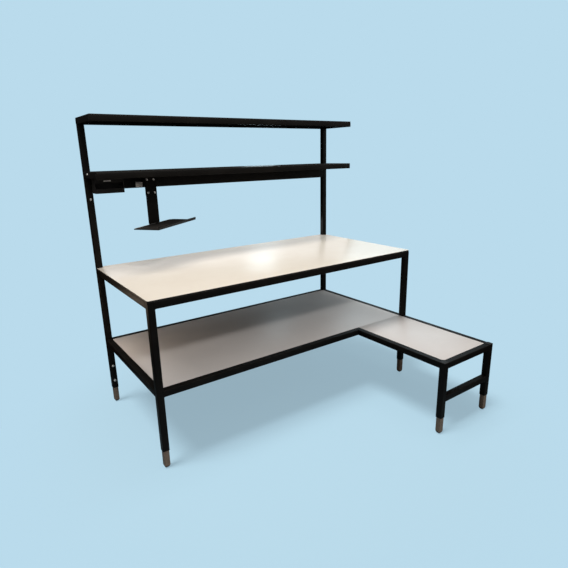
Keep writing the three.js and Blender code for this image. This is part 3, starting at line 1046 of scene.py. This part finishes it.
@dataclass
class Boards:
    """Compact laminate boards: a black pressed core with a sheet of its own colour on top."""

    finishes: Finishes
    sheet: float = 0.7 * MM
    sheet_ease: float = 0.42 * MM
    top_corner: float = 10.0 * MM
    deck_corner: float = 2.0 * MM
    low_corner: float = 0.5 * MM
    chamfer: float = 12.0 * MM
    chamfer_corner: float = 4.0 * MM
    notch: float = 35.5 * MM

    def build(self) -> None:
        """Build the worktop, the low boards and the two decks."""
        self._notched("worktop", self.top_corner, Tint.WHITE)
        self._notched("mid_deck", self.deck_corner, Tint.BLACK)
        self._plain("top_deck", self.deck_corner, Tint.BLACK)
        self._plain("low_board_main", self.low_corner, Tint.GREY)
        self._chamfered("low_board_ext", Tint.GREY)

    def _plain(self, node: str, corner: float, tint: Tint) -> None:
        """Build a plain board with four corners of one radius."""
        low, high = span(node)
        points = [(low.x, high.y), (low.x, low.y), (high.x, low.y), (high.x, high.y)]
        self._board(node, points, [corner] * 4, tint)

    def _chamfered(self, node: str, tint: Tint) -> None:
        """Build a board with its front left corner cut off.

        Args:
            node: The board's CAD node.
            tint: Its colour.
        """
        low, high = span(node)
        cut = self.chamfer
        points = [(low.x, high.y), (low.x, low.y + cut), (low.x + cut, low.y), (high.x, low.y),
                  (high.x, high.y)]
        plain, soft = self.low_corner, self.chamfer_corner
        self._board(node, points, [plain, soft, soft, plain, plain], tint)

    def _notched(self, node: str, corner: float, tint: Tint) -> None:
        """Build a board that is cut out round both uprights.

        Args:
            node: The board's CAD node.
            corner: Radius of its front corners.
            tint: Its colour.
        """
        low, high = span(node)
        n = self.notch
        points = [(low.x + n, high.y), (low.x + n, high.y - n), (low.x, high.y - n), (low.x, low.y),
                  (high.x, low.y), (high.x, high.y - n), (high.x - n, high.y - n), (high.x - n, high.y)]
        self._board(node, points, [0, 0, 0, corner, corner, 0, 0, 0], tint)

    def _board(self, node: str, points: list[Point], radii: list[float], tint: Tint) -> None:
        """Build one board's core and its face sheet.

        Args:
            node: The board's CAD node.
            points: Its corners.
            radii: Radius of each corner.
            tint: Its colour.
        """
        low, high = span(node)
        core = Form()
        core.slab(points, radii, low.z, high.z - self.sheet)
        show(core, f"{node}_core", self.finishes.core, nodes=[node])
        face = Form()
        face.slab(points, radii, high.z - self.sheet, high.z)
        face.soften(face.rim(), self.sheet_ease, steps=2)
        show(face, f"{node}_sheets", self.finishes.laminate(tint))


@dataclass
class Feet:
    """Telescopic feet: inner tubes, domed glides and two screws on each leg."""

    finishes: Finishes
    wall: float = 2.0 * MM
    radius: float = 3.0 * MM
    dome: float = 20.6 * MM
    dome_height: float = 26.0 * MM
    sag: float = 0.8 * MM
    rings: int = 10
    spigot: float = 22.0 * MM
    spigot_slack: float = 0.3 * MM
    spigot_corner: float = 1.0 * MM
    spigot_sink: float = 0.5 * MM
    spigot_ease: float = 0.5 * MM
    clamp_drop: float = 101.0 * MM
    screw: ButtonScrew = field(default_factory=ButtonScrew)
    legs: dict[str, str] = field(default_factory=lambda: {
        "rear_left": "upright_left", "rear_right": "upright_right", "front_left": "leg_front_left",
        "front_right": "leg_front_right", "ext_left": "leg_ext_left", "ext_right": "leg_ext_right"})

    def build(self) -> None:
        """Build each foot and its leg's screws."""
        for place in PLACES:
            self._tube(f"foot_{place}")
            self._glide(place)
            self._screws(place)

    def _tube(self, node: str) -> None:
        """Build the inner tube of one foot.

        Args:
            node: The tube's CAD node, which has the same name as the foot's body.
        """
        form = Form()
        form.tube(*span(node), Run.Z, self.wall, self.radius)
        show(form, f"{node}_tube", self.finishes.steel, node, [node])

    def _glide(self, place: str) -> None:
        """Build the round glide that closes one foot.

        Args:
            place: Where the foot stands.
        """
        node = f"glide_{place}"
        low, high = span(node)
        half = (high.x - low.x) / 2
        shoulder = high.z - self.spigot
        form = Form()
        face = form.rounded(form.outline(oblong(half, half), shoulder), [self.radius] * 4, steps=6)
        for i in range(1, self.rings + 1):
            z = shoulder * math.cos(i / self.rings * math.pi / 2)
            face = form.raise_faces([face], Vector((0, 0, z - face.verts[0].co.z)))[0]
            fall = (self.dome_height - self.sag - z) / self.dome_height
            reach = self.dome * math.sqrt(1 - fall ** 2)
            for vert in face.verts:
                flat = math.hypot(vert.co.x, vert.co.y)
                if flat > reach:
                    vert.co.x *= reach / flat
                    vert.co.y *= reach / flat
        tip = half - self.wall - self.spigot_slack
        spigot = Form()
        spigot.slab(oblong(tip, tip), [self.spigot_corner] * 4, shoulder - self.spigot_sink, high.z,
                    self.spigot_ease)
        spigot.pour_into(form)
        form.turn(Matrix.Translation((*centre(node).xy, 0)))
        show(form, f"{node}_dome", self.finishes.glide, f"foot_{place}", [node])

    def _screws(self, place: str) -> None:
        """Build the stop screw and the clamping screw of one leg.

        Args:
            place: Where the leg stands.
        """
        node = f"stop_screw_{place}"
        leg_low, leg_high = span(self.legs[place])
        front = span(node)[0].y < leg_low.y
        facing, face_y = (Facing.FRONT, leg_low.y) if front else (Facing.REAR, leg_high.y)
        at = centre(node)
        form = Form()
        for drop in (0.0, self.clamp_drop):
            self.screw.add(form, Vector((at.x, face_y, at.z - drop)), facing)
        show(form, f"leg_screws_{place}", self.finishes.zinc, nodes=[node])


@dataclass
class ShelfScrews:
    """Bright screws on the shelf ends and on the left upright."""

    finishes: Finishes
    screw: ButtonScrew = field(default_factory=lambda: ButtonScrew(radius=4.8 * MM, washer=5.9 * MM))
    end_back: float = 112.0 * MM
    end_rise: float = 8.0 * MM
    upright_height: float = 1301.0 * MM

    def build(self) -> None:
        """Build the three screws."""
        form = Form()
        low, high = span("upright_left")
        y = high.y - self.end_back
        for node, facing in (("mid_arm_left", Facing.LEFT), ("mid_arm_right", Facing.RIGHT)):
            x = span(node)[0 if facing is Facing.LEFT else 1].x
            self.screw.add(form, Vector((x, y, centre(node).z + self.end_rise)), facing)
        show(form, "shelf_end_screws", self.finishes.zinc)
        form = Form()
        self.screw.add(form, Vector(((low.x + high.x) / 2, low.y, self.upright_height)), Facing.FRONT)
        show(form, "upright_screw", self.finishes.zinc)


@dataclass
class Hanger:
    """Channel bracket, hanging plate with a folded foot, bolts, and a swivelling tray with lip and hem."""

    finishes: Finishes
    arm_width: float = 30.0 * MM
    arm_height: float = 64.0 * MM
    bracket_wall: float = 4.0 * MM
    bracket_bend: float = 6.3 * MM
    web_corner: float = 6.0 * MM
    web_ease: float = 0.5 * MM
    plate_wall: float = 6.0 * MM
    plate_bend: float = 6.35 * MM
    plate_cross: float = 4.8 * MM
    foot_corner: float = 10.0 * MM
    plate_corner: float = 6.0 * MM
    bolt: ButtonScrew = field(default_factory=lambda: ButtonScrew(radius=4.9 * MM, washer=6.1 * MM))
    bolt_apart: float = 40.0 * MM
    bolt_heights: Point = (1402.0 * MM, 1326.0 * MM)
    pivot: HexBolt = field(default_factory=HexBolt)
    shank: float = 3.98 * MM
    shank_sides: int = 24
    swivel_gap: float = 0.4 * MM
    tray_offset: float = -23.0 * MM
    tray_length: float = 442.0 * MM
    tray_depth: float = 168.0 * MM
    tray_inset: float = 12.0 * MM
    tray_sheet: float = 2.0 * MM
    tray_corner: float = 22.0 * MM
    tray_fold: float = 3.0 * MM
    tray_degrees: float = 38.5
    hem_width: float = 3.6 * MM
    hem_height: float = 2.2 * MM
    hem_corner: float = 1.5 * MM
    hem_ease: float = 0.9 * MM
    roll: float = 2.6 * MM
    roll_ease: float = 1.56 * MM
    roll_sides: int = 16
    roll_sharp: float = 50.0

    def build(self) -> None:
        """Build the bracket, the plate, the bolts and the tray."""
        self._bracket()
        self._plate()
        self._bolts()
        self._pivot()
        self._tray()

    def _bracket(self) -> None:
        """Build the channel arm that stands forward from the beam, and the web on its front."""
        low, high = span("hanger_bracket")
        middle = centre("hanger_bracket")
        left, right = middle.x - self.arm_width / 2, middle.x + self.arm_width / 2
        points = [(left, high.y), (left, low.y), (right, low.y), (right, high.y)]
        form = Form()
        form.bent_line([(x, y, high.z - self.arm_height) for x, y in points], self.bracket_bend)
        form.sweep(form.bm.edges[:], Vector((0, 0, self.arm_height)))
        form.wall_inside(self.bracket_wall, middle)
        web = Form()
        web.slab(rectangle(low.xz, high.xz), [self.web_corner] * 4, 0.0, self.bracket_wall, self.web_ease)
        web.stand(low.y + self.bracket_wall)
        web.pour_into(form)
        show(form, "hanger_channel", self.finishes.sheet, nodes=["hanger_bracket"])

    def _plate(self) -> None:
        """Build the hanging plate and its folded foot."""
        low, high = span("hanger_plate")
        form = Form()
        points = [(high.y, high.z), (high.y, low.z), (low.y, low.z)]
        form.bent_line([(low.x, y, z) for y, z in points], self.plate_bend)
        form.sweep(form.bm.edges[:], Vector((high.x - low.x, 0, 0)))
        form.wall_inside(self.plate_wall, Vector((centre("hanger_plate").x, low.y, high.z)))
        tips = [e for e in form.edges_at(Axis.Y, low.y) if extent(e, Axis.Z) > self.plate_cross]
        form.soften(tips, self.foot_corner, steps=5)
        tops = [e for e in form.edges_at(Axis.Z, high.z) if extent(e, Axis.Y) > self.plate_cross]
        form.soften(tops, self.plate_corner, steps=4)
        show(form, "hanger_blade", self.finishes.sheet, nodes=["hanger_plate"])

    def _bolts(self) -> None:
        """Build the four bolts of the plate."""
        face_y = span("hanger_plate")[1].y - self.plate_wall
        middle = centre("hanger_plate").x
        form = Form()
        for z in self.bolt_heights:
            for x in (middle - self.bolt_apart / 2, middle + self.bolt_apart / 2):
                self.bolt.add(form, Vector((x, face_y, z)), Facing.FRONT)
        show(form, "hanger_bolts", self.finishes.zinc)

    def _pivot(self) -> None:
        """Build the pivot bolt: its head over the tray, its shank and the nut under the folded foot."""
        at = centre("pivot_bolt")
        foot_z = span("hanger_plate")[0].z
        head_z = span("tray")[0].z + self.tray_sheet + self.swivel_gap
        form = Form()
        self.pivot.add(form, Vector((at.x, at.y, head_z)), Facing.UP)
        self.pivot.add(form, Vector((at.x, at.y, foot_z)), Facing.DOWN)
        form.rod(self.shank, head_z - foot_z, self.shank_sides, (at.x, at.y, (head_z + foot_z) / 2))
        show(form, "pivot_hardware", self.finishes.sheet, nodes=["pivot_bolt"])

    def _tray(self) -> None:
        """Build the tray: a floor, a folded lip with a rolled edge along its front, and a rear hem painted as
        a highlight.
        """
        low, high = span("tray")
        left = self.tray_offset - self.tray_length / 2
        right = left + self.tray_length
        back = self.tray_inset
        front = back - self.tray_depth
        form = Form()
        face = form.outline([(left, back), (left, front), (right, front), (right, back)], low.z)
        form.rounded(face, [self.tray_corner, 0, 0, self.tray_corner], steps=6)
        form.sweep(form.edges_at(Axis.Y, front), Vector((0, 0, high.z - low.z)))
        folds = [e for e in form.edges_at(Axis.Z, low.z) if len(e.link_faces) == 2]
        form.soften(folds, self.tray_fold, steps=4)
        form.wall_inside(self.tray_sheet, Vector((0, (front + back) / 2, high.z)))
        at = centre("pivot_bolt")
        turn = Matrix.Translation((at.x, at.y, 0)) @ Matrix.Rotation(math.radians(self.tray_degrees), 4, "Z")
        form.turn(turn)
        show(form, "tray_pan", self.finishes.pan, "tray", ["tray"])
        self._hem((left + self.tray_corner, back - self.hem_width), (right - self.tray_corner, back),
                  low.z + self.tray_sheet, turn)
        self._roll(turn @ Matrix.Translation(((left + right) / 2, front + self.tray_sheet / 2, high.z)))

    def _hem(self, low: Point, high: Point, floor: float, place: Matrix) -> None:
        """Build the hem along the rear of the tray's floor, whose pale coat is a painted highlight.

        Args:
            low: Its front left corner in the tray.
            high: Its rear right corner in the tray.
            floor: Height that it lies at.
            place: Where the tray is.
        """
        form = Form()
        form.slab(rectangle(low, high), [self.hem_corner] * 4, floor, floor + self.hem_height, self.hem_ease)
        form.turn(place)
        show(form, "tray_hem", self.finishes.rubbed_and_highlight, "tray")

    def _roll(self, place: Matrix) -> None:
        """Build the rolled edge along the top of the tray's lip.

        Args:
            place: Where its middle is.
        """
        form = Form()
        form.rod(self.roll, self.tray_length, self.roll_sides)
        form.soften([e for e in form.bm.edges if extent(e, Axis.Z) < CLOSE], self.roll_ease, steps=4)
        form.turn(place @ Run.X.value.to_4x4())
        show(form, "tray_roll", self.finishes.sheet, "tray", sharp=self.roll_sharp)


@dataclass
class Holder:
    """Open-front holder of folded sheet with a blank strip, its flange, and a blank plate on the beam."""

    finishes: Finishes
    wall: float = 2.0 * MM
    width: float = 162.0 * MM
    reach_left: float = 2.5 * MM
    lip: float = 26.0 * MM
    slot: float = 32.0 * MM
    slot_margin: float = 4.0 * MM
    corner: float = 4.0 * MM
    crease: float = 0.01 * MM
    flange_corner: float = 6.0 * MM
    flange_ease: float = 0.4 * MM
    screw: ButtonScrew = field(default_factory=lambda: ButtonScrew(radius=4.2 * MM, height=2.8 * MM,
                                                                   socket=1.5 * MM, washer=5.2 * MM))
    screw_shift: float = 2.0 * MM
    screw_height: float = 1383.0 * MM
    blank_corner: float = 2.0 * MM
    blank_ease_share: float = 0.35
    plate_left: float = 286.0 * MM
    plate_low: float = 1355.0 * MM
    plate_size: Triple = (42.0 * MM, 31.0 * MM, 3.0 * MM)
    strip_left: float = 48.0 * MM
    strip_rise: float = 9.0 * MM
    strip_size: Triple = (42.0 * MM, 6.0 * MM, 1.0 * MM)

    def build(self) -> None:
        """Build the box, the flange with its screw, and the two blank plates."""
        low, high = span("holder")
        right = low.x + self.width
        self._box(low - Vector((self.reach_left, 0, 0)), Vector((right, high.y, high.z)))
        self._flange(right, high)
        beam = span("mid_beam")[0]
        left = span("upright_left")[0].x + self.plate_left
        self._blank("beam_plate", Vector((left, beam.y, self.plate_low)), self.plate_size)
        band = low.z + self.lip + self.slot + self.strip_rise
        self._blank("holder_strip", Vector((low.x + self.strip_left, low.y, band)), self.strip_size)

    def _box(self, low: Vector, high: Vector) -> None:
        """Build the hollow box with a slot in its front.

        Args:
            low: Its lowest corner.
            high: Its highest corner.
        """
        form = Form()
        cube = bmesh.ops.create_cube(form.bm, size=1.0)["verts"]
        size = high - low
        bmesh.ops.scale(form.bm, vec=size, verts=cube)
        bmesh.ops.translate(form.bm, vec=(low + high) / 2, verts=cube)
        form.soften([e for e in form.bm.edges if extent(e, Axis.Y) > size.y / 2], self.corner, steps=5)
        face = min(form.bm.faces, key=lambda f: f.calc_center_median().y)
        bmesh.ops.inset_region(form.bm, faces=[face], thickness=self.slot_margin, use_even_offset=True)
        middle = face.calc_center_median()
        form.scale_face(face, (1.0, 1.0, self.slot / (size.z - 2 * self.slot_margin)))
        rise = low.z + self.lip + self.slot / 2 - middle.z
        bmesh.ops.translate(form.bm, vec=Vector((0, 0, rise)), verts=face.verts)
        face = form.raise_faces([face], Vector((0, self.wall, 0)))[0]
        self._open_out(form, face, low, high)
        show(form, "holder_box", self.finishes.box, nodes=["holder"])

    def _open_out(self, form: Form, face: bmesh.types.BMFace, low: Vector, high: Vector) -> None:
        """Widen the slot to the holder's inside behind its front wall.

        Args:
            form: The box.
            face: The bottom of the slot.
            low: The box's lowest corner.
            high: The box's highest corner.
        """
        face = form.raise_faces([face], Vector((0, self.crease, 0)))[0]
        middle = face.calc_center_median()
        wide = max(v.co.x for v in face.verts) - min(v.co.x for v in face.verts)
        tall = max(v.co.z for v in face.verts) - min(v.co.z for v in face.verts)
        inside = high - low - Vector((2 * self.wall,) * 3)
        form.scale_face(face, (inside.x / wide, 1.0, inside.z / tall))
        shift = (low + high) / 2 - middle
        bmesh.ops.translate(form.bm, vec=Vector((shift.x, 0, shift.z)), verts=face.verts)
        form.raise_faces([face], Vector((0, inside.y, 0)))

    def _flange(self, left: float, high: Vector) -> None:
        """Build the fixing flange on the beam, and its screw.

        Args:
            left: Where the box ends.
            high: Highest corner of the holder.
        """
        form = Form()
        low = (left - self.wall, span("mid_beam")[0].z)
        corner = self.flange_corner
        form.slab(rectangle(low, high.xz), [0, corner, corner, 0], 0.0, self.wall, self.flange_ease)
        form.stand(high.y)
        show(form, "holder_flange", self.finishes.box)
        form = Form()
        at = Vector(((left + high.x) / 2 + self.screw_shift, high.y - self.wall, self.screw_height))
        self.screw.add(form, at, Facing.FRONT)
        show(form, "holder_screw", self.finishes.zinc)

    def _blank(self, name: str, at: Vector, size: Triple) -> None:
        """Build one blank plate against a face that looks to the front.

        Args:
            name: The piece's name.
            at: Its lower left corner on that face.
            size: Its width, its height and its thickness.
        """
        form = Form()
        wide, tall, thick = size
        form.slab(rectangle(at.xz, (at.x + wide, at.z + tall)), [self.blank_corner] * 4, 0.0, thick,
                  thick * self.blank_ease_share)
        form.stand(at.y)
        show(form, name, self.finishes.plate)


@dataclass(frozen=True)
class Panel:
    """A flat soft lamp, with its length and width in metres and its power in watts."""

    name: str
    at: Triple
    facing: Facing
    size: Point
    power: float
    tint: Colour
    floor: FloorShare = FloorShare.EVEN
    sheen_only: bool = False

    def hang(self) -> bpy.types.Object:
        """Hang the lamp.

        Returns:
            The lamp.
        """
        data = bpy.data.lights.new(self.name, "AREA")
        data.shape = "RECTANGLE"
        data.size, data.size_y = self.size
        data.energy = self.power
        data.color = self.tint
        lamp = bpy.data.objects.new(self.name, data)
        lamp.location = self.at
        lamp.rotation_euler = (-Vector(self.facing.value)).to_track_quat("Z", "Y").to_euler()
        lamp.visible_camera = False
        lamp.visible_diffuse = not self.sheen_only
        bpy.context.scene.collection.objects.link(lamp)
        return lamp


@dataclass(frozen=True)
class Sun:
    """A distant soft lamp.

    It stands rise degrees above the floor and side degrees round from the front, positive to the right. Its
    spread in degrees softens its shadows, and its level is the share of the plain light that it gives a level
    surface.
    """

    name: str
    rise: float
    side: float
    spread: float
    level: float
    floor: FloorShare
    tint: Colour = (1.0, 0.985, 0.96)
    away: float = 6.0

    def hang(self) -> bpy.types.Object:
        """Hang the lamp.

        Returns:
            The lamp.
        """
        rise, side = math.radians(self.rise), math.radians(self.side)
        data = bpy.data.lights.new(self.name, "SUN")
        data.angle = math.radians(self.spread)
        data.energy = self.level * math.pi / math.sin(rise)
        data.color = self.tint
        lamp = bpy.data.objects.new(self.name, data)
        way = Vector((math.sin(side) * math.cos(rise), -math.cos(side) * math.cos(rise), math.sin(rise)))
        lamp.location = way * self.away
        lamp.rotation_euler = way.to_track_quat("Z", "Y").to_euler()
        bpy.context.scene.collection.objects.link(lamp)
        return lamp


@dataclass
class Studio:
    """Pale floor, soft lamps, world light and the camera.

    The camera's turns are in radians, and its focal length and its centre in pixels of the photograph.
    """

    backdrop: Colour = (0.491, 0.708, 0.84)
    lit_share: float = 0.41
    open_level: float = 2.415
    reach: Point = (1.05, 1.75)
    floor_half: float = 14.0
    floor_drop: float = 0.2 * MM
    front_light: Colour = (0.5, 0.485, 0.465)
    rear_light: Colour = (0.05, 0.05, 0.05)
    turnover: Point = (-0.5, 0.5)
    eye: Triple = (-1.55921, -2.13616, 1.52395)
    yaw: float = 0.61975
    pitch: float = 0.27831
    roll: float = -0.02156
    focal: float = 465.773
    frame_px: float = 568.0
    centre_px: Point = (286.463, 288.261)
    sensor: float = 36.0
    far: float = 60.0
    lamps: tuple[Panel | Sun, ...] = (
        Panel("ceiling_panel", (-0.5, 0.17, 3.3), Facing.DOWN, (4.2, 0.66), 60.0, (1.0, 0.97, 0.93)),
        Panel("side_panel", (2.3, 1.0, 1.6), Facing.LEFT, (1.7, 1.3), 12.5, (0.7, 0.9, 1.0)),
        Panel("rear_panel", (0.15, 0.8, 0.965), Facing.FRONT, (2.1, 0.12), 1.05, (0.97, 0.98, 1.0)),
        Panel("window_panel", (1.42, 2.5, 1.6), Facing.FRONT, (0.42, 0.55), 2.5, (0.7, 0.9, 1.0),
              sheen_only=True),
        Panel("left_panel", (-1.2, 0.55, 0.7), Facing.RIGHT, (0.3, 0.1), 0.95, (1.0, 0.78, 0.58),
              FloorShare.SPARED),
        Sun("front", 42.0, -2.0, 6.0, 0.185, FloorShare.SPARED),
        Sun("above", 70.0, -90.0, 20.0, 1.8, FloorShare.ALONE),
    )

    def build(self) -> None:
        """Build the camera, the floor, the world and the lamps."""
        self._camera()
        floor = self._floor()
        self._world()
        for source in self.lamps:
            lamp = source.hang()
            if source.floor is not FloorShare.EVEN:
                self._share(lamp, floor, source.floor)
        bpy.context.scene.view_settings.view_transform = "Standard"

    def _camera(self) -> None:
        """Stand the camera where the photograph was taken from."""
        flat = math.cos(self.pitch)
        forward = Vector((math.sin(self.yaw) * flat, math.cos(self.yaw) * flat, -math.sin(self.pitch)))
        level = Vector((math.cos(self.yaw), -math.sin(self.yaw), 0))
        upright = level.cross(forward)
        right = level * math.cos(self.roll) + upright * math.sin(self.roll)
        up = upright * math.cos(self.roll) - level * math.sin(self.roll)
        turn = Matrix((right, up, -forward)).transposed()
        data = bpy.data.cameras.new("camera")
        data.sensor_fit = "HORIZONTAL"
        data.sensor_width = self.sensor
        data.lens = self.focal * self.sensor / self.frame_px
        data.shift_x = (self.frame_px / 2 - self.centre_px[0]) / self.frame_px
        data.shift_y = (self.centre_px[1] - self.frame_px / 2) / self.frame_px
        data.clip_end = self.far
        camera = bpy.data.objects.new("camera", data)
        camera.matrix_world = Matrix.Translation(Vector(self.eye)) @ turn.to_4x4()
        bpy.context.scene.collection.objects.link(camera)
        bpy.context.scene.camera = camera

    def _seen(self, shade: Shade) -> Val:
        """Return 1 for the rays of the camera, which show the backdrop."""
        return shade.out(shade.node("ShaderNodeLightPath", {}, {}), "Is Camera Ray")

    def _floor(self) -> bpy.types.Object:
        """Lay a pale floor that keeps the shadow and fades into the backdrop.

        Returns:
            The floor.
        """
        form = Form()
        form.outline(oblong(self.floor_half, self.floor_half), -self.floor_drop)
        mesh = bpy.data.meshes.new("floor")
        form.bm.to_mesh(mesh)
        form.bm.free()
        floor = bpy.data.objects.new("floor", mesh)
        bpy.context.scene.collection.objects.link(floor)
        material, shade = new_shade("pale_floor")
        seen = self._seen(shade)
        lit = tuple(c * self.lit_share / self.open_level for c in self.backdrop)
        rest = tuple(c * (1 - self.lit_share) for c in self.backdrop)
        paint = shade.out(shade.node("ShaderNodeBsdfDiffuse", {}, {"Color": lit}))
        glow = shade.out(shade.node("ShaderNodeEmission", {}, {"Color": rest, "Strength": seen}))
        near = shade.out(shade.node("ShaderNodeAddShader", {}, {0: paint, 1: glow}))
        far = shade.out(shade.node("ShaderNodeEmission", {}, {"Color": self.backdrop, "Strength": seen}))
        length = shade.node("ShaderNodeVectorMath", {"operation": "LENGTH"}, {0: shade.place()})
        fade = shade.out(length, "Value").ease(*self.reach)
        surface = shade.out(shade.node("ShaderNodeMixShader", {}, {0: fade, 1: near, 2: far}))
        shade.node("ShaderNodeOutputMaterial", {}, {"Surface": surface})
        mesh.materials.append(material)
        return floor

    def _world(self) -> None:
        """Light the bench softly, mostly from the front, behind a pale backdrop."""
        world = bpy.data.worlds.new("studio")
        world.use_nodes = True
        shade = Shade(world.node_tree)
        way = shade.out(shade.node("ShaderNodeTexCoord", {}, {}), "Generated")
        rearward = shade.out(shade.node("ShaderNodeSeparateXYZ", {}, {0: way}), "Y").ease(*self.turnover)
        light = shade.blend(rearward, self.front_light, self.rear_light)
        soft = shade.out(shade.node("ShaderNodeBackground", {}, {"Color": light, "Strength": 1.0}))
        pale = shade.out(shade.node("ShaderNodeBackground", {}, {"Color": self.backdrop, "Strength": 1.0}))
        surface = shade.out(shade.node("ShaderNodeMixShader", {}, {0: self._seen(shade), 1: soft, 2: pale}))
        shade.node("ShaderNodeOutputWorld", {}, {"Surface": surface})
        bpy.context.scene.world = world

    def _share(self, lamp: bpy.types.Object, floor: bpy.types.Object, share: FloorShare) -> None:
        """Settle whether a lamp lights the floor alone or leaves it out.

        Args:
            lamp: The lamp.
            floor: The floor.
            share: What the floor has of its light.
        """
        group = bpy.data.collections.new(f"{lamp.name}_floor")
        group.objects.link(floor)
        lamp.light_linking.receiver_collection = group
        group.collection_objects[0].light_linking.link_state = share.value


def plain(box: Any) -> list[list[float]]:
    """Return a box's corners as plain lists."""
    return [[float(c) for c in corner] for corner in box]


def main() -> None:
    """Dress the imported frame: camera and light first, then each sub-assembly in order."""
    logging.basicConfig(level=logging.INFO, format="%(message)s")
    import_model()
    Studio().build()
    finishes = Finishes()
    for part in (Tubework, Weldwork, Boards, Feet, ShelfScrews, Hanger, Holder):
        LOG.info("building %s", part.__name__)
        part(finishes).build()


if __name__ == "__main__":
    main()
